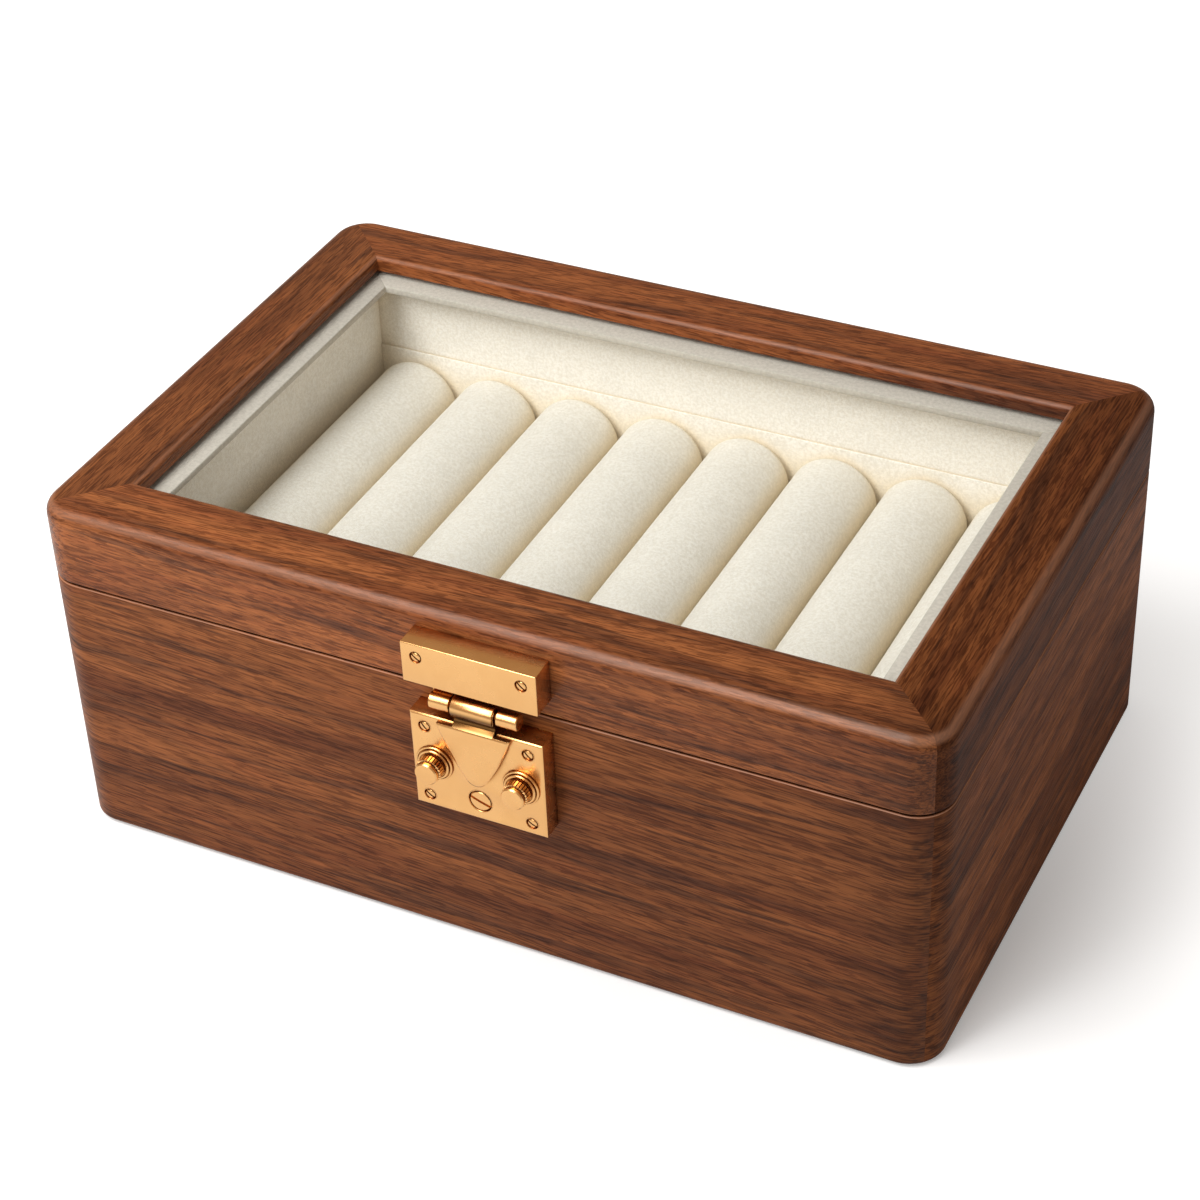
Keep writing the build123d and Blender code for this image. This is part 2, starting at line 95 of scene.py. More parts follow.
# Rolls, and the ledges and backing boards that carry them
ROLL_COUNT = 8
ROLL_Z = middle("roll_1").z
ROLL_R = high("roll_1").z - ROLL_Z
ROLL_HALF = high("roll_1").y
ROLL_END_R = 4.5
ROLL_SLACK = 0.15
ROLL_CROWN = 0.25
ROLL_RINGS = 60
ROLL_SIDES = 96
LUMP = 0.16
LUMP_SIZE = (13, 22, 13)
LEDGE_GAP = 0.3
BACKING = 1.3
BACKING_GROOVE = 0.5
BACKING_GROOVE_DEPTH = 2.5

# Clasp: block and tongue on the lid, lock case on the base
CLASP_X = middle("lock_case").x
BLOCK_FRONT_Y = low("clasp_block").y
BLOCK_ABOVE_PIN = 6.45
BLOCK_EDGE = 0.35
PIVOT = middle("clasp_pin")
LUG_R = 2.7
LUG_X = (7.8, 14.6)
WEB_Y = (1.3, 1.9)
NECK_R = 3.45
NECK_DIP = 56
NECK_HALF = 6.9
NECK_DISH = 1.6
NECK_FOOT_Z = 92.0
CASE_FRONT_Y = low("lock_case").y

# Screws: radius of the slotted head and of the ring it sits in
SCREW_HEAD_R = 2.05
SCREW_X = high("lock_screws").x - CLASP_X - SCREW_HEAD_R
SMALL_HEAD = (1.5, 2.25)
LARGE_HEAD = (3.4, 4.2)
SCREW_SINK = 1.2

# Knobs: (radius, height) of the stepped flange and of the cap, and the knurl between them
KNOB_FOOT = (
    (5.9, 0.0), (6.05, 0.12), (6.05, 0.5), (5.9, 0.68), (5.6, 0.72), (5.5, 0.42), (5.25, 0.42), (5.2, 1.2),
    (5.05, 1.4), (4.6, 1.45), (4.5, 1.1), (4.25, 1.1), (4.2, 1.65), (3.6, 1.7), (3.6, 1.9),
)
KNOB_CAP = (
    (3.3, 4.7), (3.3, 5.0), (3.72, 5.04), (3.8, 5.14), (3.8, 5.95), (3.45, 6.35), (3.1, 6.42), (1.6, 6.5),
)
KNURL_TEETH = 26
KNURL_R = 4.15
KNURL_Z = (1.9, 4.7)
KNURL_DEPTH = 0.4
KNURL_FORM = ((0.0, 0), (0.33, 0), (0.66, 0), (0.83, 1))
SPINDLE = ((0, 0), (1.5, 0), (1.5, 2.2), (1.2, 3.2), (0, 3.2))

# Photographed view of a 300 x 200 x 125 mm box
LENS = 87.08
SENSOR = 36.0
AZIMUTH = 27.46
ELEVATION = 36.34
ROLL = -2.61
AIM = (-6.778, 51.587)
DISTANCE = 985.829

# Lamps: place, what they aim at, size and power
KEY_LAMP = ((-0.31, -0.5, 1.02), (0, 0, 0.06), (0.6, 0.6), 8.8)
EDGE_LAMP = ((-0.3, -1.28, 1.1), (0, 0, 0.1), (0.8, 0.8), 10.5)
WORLD_LIGHT = (0.37, 0.35, 0.325, 1.0)
WORLD_MIRRORED = (0.46, 0.35, 0.26, 1.0)
WHITE = (1.0, 1.0, 1.0, 1.0)
FLOOR_HALF = 6.0
FLOOR_DROP = 0.2
# How much the floor glows for the camera, by the distance from the middle and by how far back it is: painted
# light, weaker near the box so its shadow stays dark, stronger towards the back where it lightens the shadow
NEAR_GLOW = (0.16, 0.36)
NEAR_GLOW_FROM = (140, 225)
FAR_GLOW = (0.0, 0.8)
FAR_GLOW_FROM = (400, 1500)
BACK_GLOW = (0.0, 0.2)
BACK_GLOW_FROM = (-60, 90)


class Value:
    """An output socket that can stand in a sum: each operator adds a Math node."""

    def __init__(self, finish, socket):
        self.finish = finish
        self.socket = socket

    def sum(self, operation, first, second):
        return self.finish.node("ShaderNodeMath", {"operation": operation}, {0: first, 1: second})

    def __add__(self, other):
        return self.sum("ADD", self, other)

    def __radd__(self, other):
        return self.sum("ADD", other, self)

    def __sub__(self, other):
        return self.sum("SUBTRACT", self, other)

    def __rsub__(self, other):
        return self.sum("SUBTRACT", other, self)

    def __mul__(self, other):
        return self.sum("MULTIPLY", self, other)

    def __rmul__(self, other):
        return self.sum("MULTIPLY", other, self)


class Nodes:
    """A node tree to which nodes are added one call at a time."""

    def __init__(self, tree):
        self.tree = tree

    def node(self, kind, settings=None, values=None, out=0):
        made = self.tree.nodes.new(kind)
        for key, value in (settings or {}).items():
            setattr(made, key, value)
        for key, value in (values or {}).items():
            self.put(made.inputs[key], value)
        return Value(self, made.outputs[out])

    def put(self, socket, value):
        if isinstance(value, Value):
            self.tree.links.new(value.socket, socket)
        else:
            socket.default_value = value

    def mix(self, factor, first, second, blend="MIX"):
        settings = {"data_type": "RGBA", "blend_type": blend}
        return self.node("ShaderNodeMix", settings, {0: factor, 6: first, 7: second}, 2)

    def colour(self, red, green, blue):
        return self.node("ShaderNodeCombineColor", None, {0: red, 1: green, 2: blue})


class Finish(Nodes):
    """A material: its principled shader with constants, and the nodes that feed it."""

    def __init__(self, name, constants=None):
        self.material = bpy.data.materials.new(name)
        self.material.use_nodes = True
        super().__init__(self.material.node_tree)
        self.shader = self.tree.nodes["Principled BSDF"]
        self.output = self.tree.nodes["Material Output"]
        self.feed(constants or {})

    def feed(self, values):
        for key, value in values.items():
            self.put(self.shader.inputs[key], value)

    def place(self):
        return self.node("ShaderNodeTexCoord", out="Object")

    def part(self, vector, axis):
        """One number of a vector, in millimetres."""
        return self.node("ShaderNodeSeparateXYZ", None, {"Vector": vector}, axis) * (1 / MM)

    def mapped(self, vector, scale=(1, 1, 1), turn=(0, 0, 0), shift=(0, 0, 0)):
        values = {"Vector": vector, "Scale": scale, "Rotation": turn, "Location": shift}
        return self.node("ShaderNodeMapping", None, values)

    def noise(self, vector, size, detail=2.0, rough=0.5, out=0):
        """Noise whose lumps are about size across, in millimetres; size may differ along each axis."""
        sizes = size if isinstance(size, tuple) else (size, size, size)
        scaled = self.mapped(vector, [1 / (s * MM) for s in sizes])
        values = {"Vector": scaled, "Scale": 1.0, "Detail": detail, "Roughness": rough}
        return self.node("ShaderNodeTexNoise", None, values, out)

    def drift(self, vector, size, reach):
        """Moves a place by smooth noise, up to about half of reach to either side, in millimetres."""
        lumps = self.noise(vector, size, 2.0, out=1)
        settings = {"operation": "SUBTRACT"}
        centred = self.node("ShaderNodeVectorMath", settings, {0: lumps, 1: (0.5, 0.5, 0.5)})
        values = {0: centred, 1: [r * MM for r in reach], 2: vector}
        return self.node("ShaderNodeVectorMath", {"operation": "MULTIPLY_ADD"}, values)

    def step(self, value, start, end, to=(0.0, 1.0)):
        """A smooth change from to[0] to to[1] as value goes from start to end."""
        values = {"Value": value, "From Min": start, "From Max": end, "To Min": to[0], "To Max": to[1]}
        return self.node("ShaderNodeMapRange", {"interpolation_type": "SMOOTHSTEP"}, values)

    def openness(self, reach, samples):
        """1 on an open face, less where other faces stand within reach millimetres."""
        values = {"Distance": reach * MM}
        return self.node("ShaderNodeAmbientOcclusion", {"samples": samples}, values, "AO")

    def bump(self, height, depth):
        """Surface relief of about depth millimetres where height goes from 0 to 1."""
        values = {"Height": height, "Distance": depth * MM, "Strength": 1.0}
        self.feed({"Normal": self.node("ShaderNodeBump", None, values)})


def tone(red, green, blue):
    """A colour given as it looks on a screen, 0 to 255, as the linear values that shaders take."""
    linear = [((c / 255 + 0.055) / 1.055) ** 2.4 for c in (red, green, blue)]
    return (*linear, 1.0)


def dyed(colour, factors):
    """A screen colour with each of its three parts changed by a factor."""
    return tone(*[c * f for c, f in zip(colour, factors)])


# Walnut tones
WOOD_DARK = tone(110, 61, 34)
WOOD_PALE = tone(150, 89, 49)
WOOD_FLUSH = tone(140, 74, 42)
WOOD_STREAK = tone(74, 45, 33)
# Pale pinkish tone painted on rounded edges as a highlight
WOOD_EDGE_HIGHLIGHT = tone(222, 164, 132)
DASH_SHADE = (0.38, 0.31, 0.30, 1.0)
TICK_SHADE = (0.34, 0.28, 0.28, 1.0)

# How the grain is tilted, and how far a board's seed moves it through the grain
GRAIN_TILT = radians(-3.0)
SEED_STEP = (310, 170, 90)
# Where painted shade darkens the boards towards the front right corner, and the factor it darkens them to
FRONT_END = (HALF_X - 42, HALF_X - 4)
RIGHT_END = (-HALF_Y + 32, -HALF_Y + 2)
CORNER_SHADE_DEPTH = 0.66
# How strongly the rounded edges that turn upwards are painted paler as a highlight, and how far marks reach
# into the wood behind a face
BASE_WOOD = {"edge_highlight": 0.4, "deep": 5.0}
LID_WOOD = {"edge_highlight": 0.18, "deep": 1.0}


def walnut(name, along_y, edge_highlight, deep, seed, light, red=0.0, gloss=0.14, rough=0.0, painted_falloff=0.0, painted_corner_shade=None):
    """Oiled walnut with its grain along one axis: broad bands, dark streaks, short dashes and pores."""
    wood = Finish(name, {"Specular IOR Level": gloss})
    place = wood.place()
    offset = [seed * s * MM for s in SEED_STEP]
    level_turn = (0, 0, -pi / 2) if along_y else (0, 0, 0)
    grain_turn = (GRAIN_TILT, 0, -pi / 2) if along_y else (0, GRAIN_TILT, GRAIN_TILT)
    level = wood.mapped(place, turn=level_turn, shift=offset)
    broad = wood.drift(level, (130, 40, 40), (0.0, 12.0, 12.0))
    bands = wood.step(wood.noise(broad, (210, 9, 9), 3.0, 0.55), 0.34, 0.66)
    streaks = wood.step(wood.noise(broad, (150, 4.2, 4.2), 3.0, 0.6), 0.52, 0.67)
    tilted = wood.mapped(place, turn=grain_turn, shift=offset)
    grain = wood.drift(tilted, (45, 12, 12), (0.0, 0.3, 0.3))
    flush = wood.step(wood.noise(grain, (50, 5, 5), 2.0, 0.5), 0.45, 0.75)
    dashes = wood.step(wood.noise(grain, (9, 0.55 * deep, 0.55), 1.0, 0.5), 0.52, 0.56)
    ticks = wood.step(wood.noise(grain, (20, 0.9 * deep, 0.9), 1.0, 0.5), 0.55, 0.61)
    fibres = wood.noise(grain, (18, 0.5 * deep, 0.5), 1.0, 0.5)
    colour = wood.mix(bands, WOOD_DARK, WOOD_PALE)
    colour = wood.mix(flush * 0.3, colour, WOOD_FLUSH)
    colour = wood.mix(streaks * 0.66, colour, WOOD_STREAK)
    colour = wood.mix(dashes * 0.66, colour, DASH_SHADE, "MULTIPLY")
    colour = wood.mix(ticks * 0.4, colour, TICK_SHADE, "MULTIPLY")
    along = wood.part(place, 1 if along_y else 0)
    shade = wood.step(fibres, 0.3, 0.7, (0.92 * light, 1.3 * light))
    # Painted light falloff: lighter at the board's left end, darker at its right
    shade = shade * wood.step(along, -HALF_X, HALF_X, (1 + painted_falloff, 1 - painted_falloff))
    # Painted shade towards the front right corner
    if painted_corner_shade:
        shade = shade * wood.step(along, *painted_corner_shade, (1.0, CORNER_SHADE_DEPTH))
    tint = wood.colour(shade * (1 + 0.2 * red), shade * (1 - 0.12 * red), shade * (1 - 0.3 * red))
    colour = wood.mix(1.0, colour, tint, "MULTIPLY")
    # Painted highlight: rounded edges whose normals turn partly upwards are mixed towards the pale tone
    normal = wood.node("ShaderNodeTexCoord", out="Normal")
    rise = wood.node("ShaderNodeSeparateXYZ", None, {0: normal}, 2)
    edge = wood.step(rise, 0.35, 0.7) * wood.step(rise, 0.98, 0.8)
    colour = wood.mix(edge * edge_highlight, colour, WOOD_EDGE_HIGHLIGHT)
    polish = wood.step(fibres, 0.2, 0.8, (0.36 + rough, 0.26 + rough))
    wood.feed({"Base Color": colour, "Roughness": polish})
    wood.bump(fibres * 0.4 - dashes * 0.6 - ticks * 0.6, 0.02)
    return wood.material


def suede(name, colour):
    """Short nap: fine grain with faint brushed patches, painted warmer and darker as shade where the rolls
    and walls stand close, with a soft sheen.
    """
    constants = {"Roughness": 0.95, "Sheen Weight": 0.2, "Sheen Roughness": 0.5, "Specular IOR Level": 0.12}
    cloth = Finish(name, constants)
    place = cloth.place()
    patches = cloth.noise(place, 9, 3.0, 0.6)
    nap = cloth.noise(place, 1.1, 3.0, 0.7)
    dust = cloth.noise(place, 0.45, 2.0, 0.7)
    shade = cloth.step(patches * 0.15 + nap * 0.45 + dust * 0.4, 0.4, 0.6, (0.91, 1.035))
    base = cloth.mix(cloth.step(nap, 0.35, 0.65), dyed(colour, (0.985, 0.975, 0.955)), tone(*colour))
    # Painted shade: a warmer, darker tone where other faces stand close, as between the rolls
    hollow_shade = dyed(colour, (0.985, 0.95, 0.88))
    base = cloth.mix(cloth.step(cloth.openness(14, 8), 0.2, 0.75), hollow_shade, base)
    cloth.feed({"Base Color": cloth.mix(1.0, base, cloth.colour(shade, shade, shade), "MULTIPLY")})
    cloth.bump(nap * 0.65 + dust * 0.35, 0.22)
    return cloth.material


# Painted shade where gold meets itself: reach, tone there, and the openness at which that tone starts and
# ends
GOLD_HOLLOW_SHADE = ((8, tone(168, 104, 40), 0.3, 0.78), (1.2, tone(150, 92, 34), 0.1, 0.65))
# Painted dark reflection on the lower half of the tongue's rolled neck
NECK_SHADE = tone(92, 60, 26)


def gold(name, rough=0.26, shaded=None):
    """Satin gilt brass with painted shade: deeper orange where it meets itself, and where shaded is given, a
    band of heights painted browner as a dark reflection.
    """
    metal = Finish(name, {"Metallic": 1.0})
    place = metal.place()
    cloud = metal.noise(place, 7, 2.0, 0.5)
    lap = metal.noise(place, (6, 0.3, 0.3), 1.0, 0.5)
    colour = metal.mix(metal.step(cloud, 0.3, 0.7), tone(231, 179, 117), tone(235, 184, 122))
    # Painted shade and bounced light: deeper orange in recesses and next to raised parts
    for reach, hollow_shade, shut, clear in GOLD_HOLLOW_SHADE:
        colour = metal.mix(metal.step(metal.openness(reach, 12), shut, clear), hollow_shade, colour)
    # Painted dark reflection: a band of heights on the neck mixed towards dark brown
    if shaded:
        height = metal.part(place, 2)
        low_end, low_dark, high_dark, high_end = shaded
        band = metal.step(height, high_end, high_dark) * metal.step(height, low_end, low_dark)
        colour = metal.mix(band * 0.92, colour, NECK_SHADE)
    metal.feed({"Base Color": colour})
    metal.feed({"Roughness": metal.step(cloud, 0.3, 0.7, (rough - 0.01, rough + 0.02))})
    metal.bump(lap, 0.0004)
    return metal.material


def plain(name, dark, pale, size, rough, depth):
    """A quiet surface for pieces that hardly show: two tones in lumps of one size."""
    made = Finish(name, {"Roughness": rough})
    lumps = made.noise(made.place(), size, 3.0, 0.6)
    made.feed({"Base Color": made.mix(made.step(lumps, 0.35, 0.65), tone(*dark), tone(*pale))})
    made.bump(lumps, depth)
    return made.material


def clear_glass(name):
    """Glass that lets light straight through and mirrors a little more at a slant."""
    constants = {"Base Color": tone(244, 250, 247), "Roughness": 0.03, "Specular IOR Level": 0.5}
    glass = Finish(name, constants)
    inside = glass.node("ShaderNodeNewGeometry", out="Backfacing")
    mirror = glass.node("ShaderNodeFresnel", None, {"IOR": 1.45}) * (1 - inside) * 0.5
    clear = glass.node("ShaderNodeBsdfTransparent", None, {"Color": (0.985, 0.992, 0.988, 1.0)})
    shine = glass.node("ShaderNodeBsdfGlossy", None, {"Roughness": 0.03})
    blend = glass.node("ShaderNodeMixShader", None, {0: mirror, 1: clear, 2: shine})
    glass.put(glass.output.inputs["Surface"], blend)
    return glass.material


# Per board, light scales the walnut tone: partly the board's own tone, partly painted light and shade, which
# makes the right-hand boards darker
WALNUT = {
    "base_front": {"seed": 0.4, "light": 0.68, "gloss": 0.1, "rough": 0.08, "painted_falloff": 0.1, "painted_corner_shade": FRONT_END},
    "base_back": {"seed": 1.3, "light": 0.8},
    "base_left": {"seed": 2.1, "light": 0.8},
    "base_right": {"seed": 3.4, "light": 0.76, "gloss": 0.04, "rough": 0.15, "painted_corner_shade": RIGHT_END},
    "lid_front": {"seed": 4.2, "light": 0.94, "rough": -0.06, "painted_falloff": 0.14, "painted_corner_shade": FRONT_END},
    "lid_back": {"seed": 5.3, "light": 0.86, "red": 0.2},
    "lid_left": {"seed": 6.1, "light": 0.74},
    "lid_right": {"seed": 7.4, "light": 0.46, "red": 0.15, "gloss": 0.04, "rough": 0.15, "painted_corner_shade": RIGHT_END},
}
# The lining is paler than the rolls partly as painted light, lifting walls that the lamps reach less than the
# roll tops
LINING_SUEDE = suede("lining_suede", (248, 243, 235))
ROLL_SUEDE = suede("roll_suede", (239, 234, 225))
# The strip's greige tone, darker than the lining, is partly its own colour and partly painted shade from the
# frame above it
STRIP = plain("retainer_cloth", (190, 183, 172), (203, 196, 185), 1.2, 0.85, 0.05)
GOLD = gold("gilt_brass")
# The neck's gold, with its painted dark reflection band
NECK_GOLD = gold("gilt_brass_neck", shaded=(91.4, 92.6, 97.2, 99.2))
FELT = plain("base_felt", (40, 33, 28), (62, 52, 45), 0.8, 0.95, 0.3)
PANEL_WOOD = plain("panel_veneer", (150, 112, 74), (176, 136, 94), (30, 2, 2), 0.6, 0.05)
GLASS = clear_glass("window_glass")


def piece(name, bm, body, material, stands_for=(), crease=32):
    """Makes a mesh drawn in millimetres into a piece that moves with body."""
    bmesh.ops.scale(bm, vec=(MM, MM, MM), verts=bm.verts)
    mesh = bpy.data.meshes.new(name)
    bm.to_mesh(mesh)
    bm.free()
    mesh.validate()
    mesh.materials.append(material)
    mesh.shade_smooth()
    mesh.set_sharp_from_angle(angle=radians(crease))
    item = bpy.data.objects.new(name, mesh)
    bpy.context.scene.collection.objects.link(item)
    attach(item, body)
    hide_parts(*stands_for)
    return item


def from_faces(points, faces):
    bm = bmesh.new()
    verts = [bm.verts.new(p) for p in points]
    for face in faces:
        bm.faces.new([verts[i] for i in face])
    return bm


def tidy(bm, gap=0.001):
    """Welds points that meet and drops what has no area."""
    bmesh.ops.remove_doubles(bm, verts=bm.verts, dist=gap)
    bmesh.ops.dissolve_degenerate(bm, edges=bm.edges, dist=gap)
    bmesh.ops.recalc_face_normals(bm, faces=bm.faces)
    return bm


def box_mesh(start, end):
    bm = bmesh.new()
    bmesh.ops.create_cube(bm, size=1.0)
    start, end = Vector(start), Vector(end)
    for v in bm.verts:
        v.co = Vector([a + (b - a) * (c + 0.5) for a, b, c in zip(start, end, v.co)])
    return bm


def bar(section, start_x, end_x):
    """A bar along X whose section is a ring of (y, z)."""
    count = len(section)
    points = [(x, y, z) for x in (start_x, end_x) for y, z in section]
    faces = [tuple(range(count)), tuple(range(count, 2 * count))]
    faces += [(i, (i + 1) % count, (i + 1) % count + count, i + count) for i in range(count)]
    return tidy(from_faces(points, faces))


def bevel(bm, edges, width, steps, clamp=True):
    bmesh.ops.bevel(
        bm, geom=edges, offset=width, segments=steps, profile=0.5, affect="EDGES", clamp_overlap=clamp
    )


def turned_edges(bm, degrees):
    """The edges whose faces turn by more than some degrees."""
    return [e for e in bm.edges if len(e.link_faces) == 2 and e.calc_face_angle() > radians(degrees)]


def soften(bm, width, steps=2, sharper=25):
    """Rounds every edge whose faces turn by more than sharper degrees."""
    bevel(bm, turned_edges(bm, sharper), width, steps)
    return bm


def lathe(profile, start, axis, steps=64):
    """A turned solid: profile is (radius, height) from its foot to its top, along axis."""
    turn = Vector((0, 0, 1)).rotation_difference(Vector(axis)).to_matrix().to_4x4()
    place = Matrix.Translation(Vector(start)) @ turn
    bm = bmesh.new()
    rings = []
    for radius, height in profile:
        count = 1 if radius == 0 else steps
        ring = [(radius * cos(2 * pi * i / steps), radius * sin(2 * pi * i / steps)) for i in range(count)]
        rings.append([bm.verts.new(place @ Vector((x, y, height))) for x, y in ring])
    for below, above in zip(rings, rings[1:]):
        for i in range(steps):
            j = (i + 1) % steps
            foot = [below[k % len(below)] for k in (i, j)]
            head = [above[k % len(above)] for k in (j, i)]
            corners = list(dict.fromkeys(foot + head))
            if len(corners) > 2:
                bm.faces.new(corners)
    bmesh.ops.recalc_face_normals(bm, faces=bm.faces)
    return bm


def combined(bm, others, operation):
    """The solid with each of the others taken out of it or joined to it."""
    made = []
    for number, shape in enumerate((bm, *others)):
        mesh = bpy.data.meshes.new(f"work_{number}")
        shape.to_mesh(mesh)
        shape.free()
        made.append(bpy.data.objects.new(mesh.name, mesh))
        bpy.context.scene.collection.objects.link(made[-1])
    for other in made[1:]:
        modifier = made[0].modifiers.new("combined", "BOOLEAN")
        modifier.operation = operation
        modifier.solver = "EXACT"
        modifier.object = other
    seen = made[0].evaluated_get(bpy.context.evaluated_depsgraph_get())
    result = bmesh.new()
    result.from_mesh(seen.to_mesh())
    for item in made:
        mesh = item.data
        bpy.data.objects.remove(item)
        bpy.data.meshes.remove(mesh)
    return tidy(result)


def without(bm, *cutters):
    return combined(bm, cutters, "DIFFERENCE")


def arc(centre, radius, start, end, steps=ARC_STEPS):
    """Points on an arc from start to end degrees."""
    angles = [radians(start + (end - start) * i / steps) for i in range(steps + 1)]
    return [(centre[0] + radius * cos(a), centre[1] + radius * sin(a)) for a in angles]


def side_spin(side):
    """Turns what is drawn at the front to its side of the box."""
    turns = {"front": 0, "right": 1, "back": 2, "left": 3}
    return Matrix.Rotation(turns[side] * pi / 2, 3, "Z")


def board_outline(inset, z, side):
    """A ring of points round half a mitred corner, the straight run and the other half corner."""
    half, depth = (HALF_X, HALF_Y) if side in ("front", "back") else (HALF_Y, HALF_X)
    radius = CORNER_R - inset
    points = []
    for sign, start in ((-1, 225), (1, 270)):
        centre = (sign * (half - CORNER_R), CORNER_R - depth)
        if radius > 0:
            bend = arc(centre, radius, start, start + 45)
        else:
            bend = [(centre[0] + sign * radius, centre[1] - radius)] * (ARC_STEPS + 1)
        straight = [(centre[0] + sign * (min(radius, 0) - HOLD), centre[1] - radius)]
        points += bend + straight if sign < 0 else straight + bend
    spin = side_spin(side)
    return [spin @ Vector((x, y, z)) for x, y in points]


def board(side, profile):
    """One mitred board: its section is (distance in from the outer face, height), going round."""
    rings = [board_outline(inset, z, side) for inset, z in profile]
    count, steps = len(rings), len(rings[0])
    points = [p for ring in rings for p in ring]
    faces = [tuple(range(0, count * steps, steps)), tuple(range(steps - 1, count * steps, steps))]
    for i in range(count):
        for j in range(steps - 1):
            a, b = i * steps + j, (i + 1) % count * steps + j
            faces.append((a, a + 1, b + 1, b))
    return tidy(from_faces(points, faces))


def lid_section():
    bottom, top = LID_Z
    outer = arc((SEAM_BREAK, bottom + SEAM_BREAK), SEAM_BREAK, 270, 180, 3)
    outer += [(0, bottom + SEAM_BREAK + HOLD), (0, top - LID_EDGE_R - HOLD)]
    edge = arc((LID_EDGE_R, top - LID_EDGE_R), LID_EDGE_R, 180, 90)
    edge += [(LID_EDGE_R + HOLD, top)]
    inner = [(FRAME_WIDTH - WINDOW_EDGE_R - HOLD, top)]
    inner += arc((FRAME_WIDTH - WINDOW_EDGE_R, top - WINDOW_EDGE_R), WINDOW_EDGE_R, 90, 0, 5)
    inner += [(FRAME_WIDTH, top - WINDOW_EDGE_R - HOLD)]
    rebate = [(FRAME_WIDTH, GLASS_TOP), (LID_WALL, GLASS_TOP), (LID_WALL, bottom), (CORNER_R, bottom)]
    return outer + edge + [(CORNER_R, top)] + inner + rebate


def base_section():
    bottom, top = BASE_Z
    lip = top - RIM_DROP
    groove_depth, groove_end = RIM_GROOVE
    outer = arc((BASE_EDGE_R, bottom + BASE_EDGE_R), BASE_EDGE_R, 270, 180, 4)
    outer += [(0, bottom + BASE_EDGE_R + HOLD), (0, lip - RIM_BREAK - HOLD)]
    rim = arc((RIM_BREAK, lip - RIM_BREAK), RIM_BREAK, 180, 90, 4)
    rim += [(RIM_BREAK + 0.1, lip - groove_depth), (groove_end, lip - groove_depth), (groove_end, top)]
    inside = [(CORNER_R, top), (WALL, top), (WALL, PANEL_TOP), (CORNER_R, PANEL_TOP)]
    return outer + rim + inside + [(PANEL_EDGE, PANEL_TOP), (PANEL_EDGE, bottom)]


def back_groove():
    """The bevelled notch along the back of the seam."""
    reach = HALF_Y + 1 - HINGE_Y
    rise = reach * tan(radians(GROOVE_ANGLE))
    section = [(HINGE_Y, SEAM_Z), (HINGE_Y + reach, SEAM_Z - rise), (HINGE_Y + reach, SEAM_Z + rise)]
    return bar(section, -HALF_X, HALF_X)


def mortises(leaf):
    """The pockets in a back rim for the leaves of both hinges."""
    cuts = []
    for hinge in HINGES:
        start, end = low(f"{hinge}_{leaf}"), high(f"{hinge}_{leaf}")
        depth = LEAF_POCKET if leaf == "upper_leaf" else -LEAF_POCKET
        zs = sorted((SEAM_Z - depth * 0.01, SEAM_Z + depth))
        cuts.append(box_mesh((start.x, start.y, zs[0]), (end.x, HALF_Y + 1, zs[1])))
    return cuts


def lock_recess():
    """The room behind the front board's face for the lock's back plate."""
    start, end = low("lock_back_plate"), high("lock_back_plate")
    return box_mesh((start.x, start.y - 1, start.z), end)


def wooden_case():
    parts = (
        ("base", base_section(), BASE_WOOD, "lower_leaf"),
        ("lid", lid_section(), LID_WOOD, "upper_leaf"),
    )
    for side in SIDES:
        for part, section, wood, leaf in parts:
            name = f"{part}_{side}"
            bm = board(side, section)
            if side == "back":
                bm = without(bm, back_groove(), *mortises(leaf))
            if name == "base_front":
                bm = without(bm, lock_recess())
            finish = walnut("walnut_" + name, side in ("left", "right"), **wood, **WALNUT[name])
            piece(name + "_board", bm, part, finish, [name], crease=24)


def covered_board(node):
    """A suede-covered board in the place of its CAD block, with rounded edges."""
    bm = soften(box_mesh(low(node), high(node)), 0.8, 3)
    piece(node + "_cover", bm, "base", LINING_SUEDE, [node], crease=60)


def covered_rail(node):
    """A ledge for the roll ends with the taller backing board, whose top stands clear of the wall."""
    start, end = low(node), high(node)
    sign = 1 if node == "rail_front" else -1
    outer, inner = (start.y, end.y) if sign == 1 else (end.y, start.y)
    ledge_z = ROLL_Z - ROLL_R - LEDGE_GAP
    back, groove = outer + sign * BACKING, outer + sign * BACKING_GROOVE
    lip_z = end.z - BACKING_GROOVE_DEPTH
    section = [(outer, start.z), (inner, start.z), (inner, ledge_z), (back, ledge_z)]
    section += [(back, end.z), (groove, end.z), (groove, lip_z), (outer, lip_z)]
    bm = soften(bar(section, start.x, end.x), 0.3, 3)
    piece(node + "_cover", bm, "base", LINING_SUEDE, [node], crease=60)


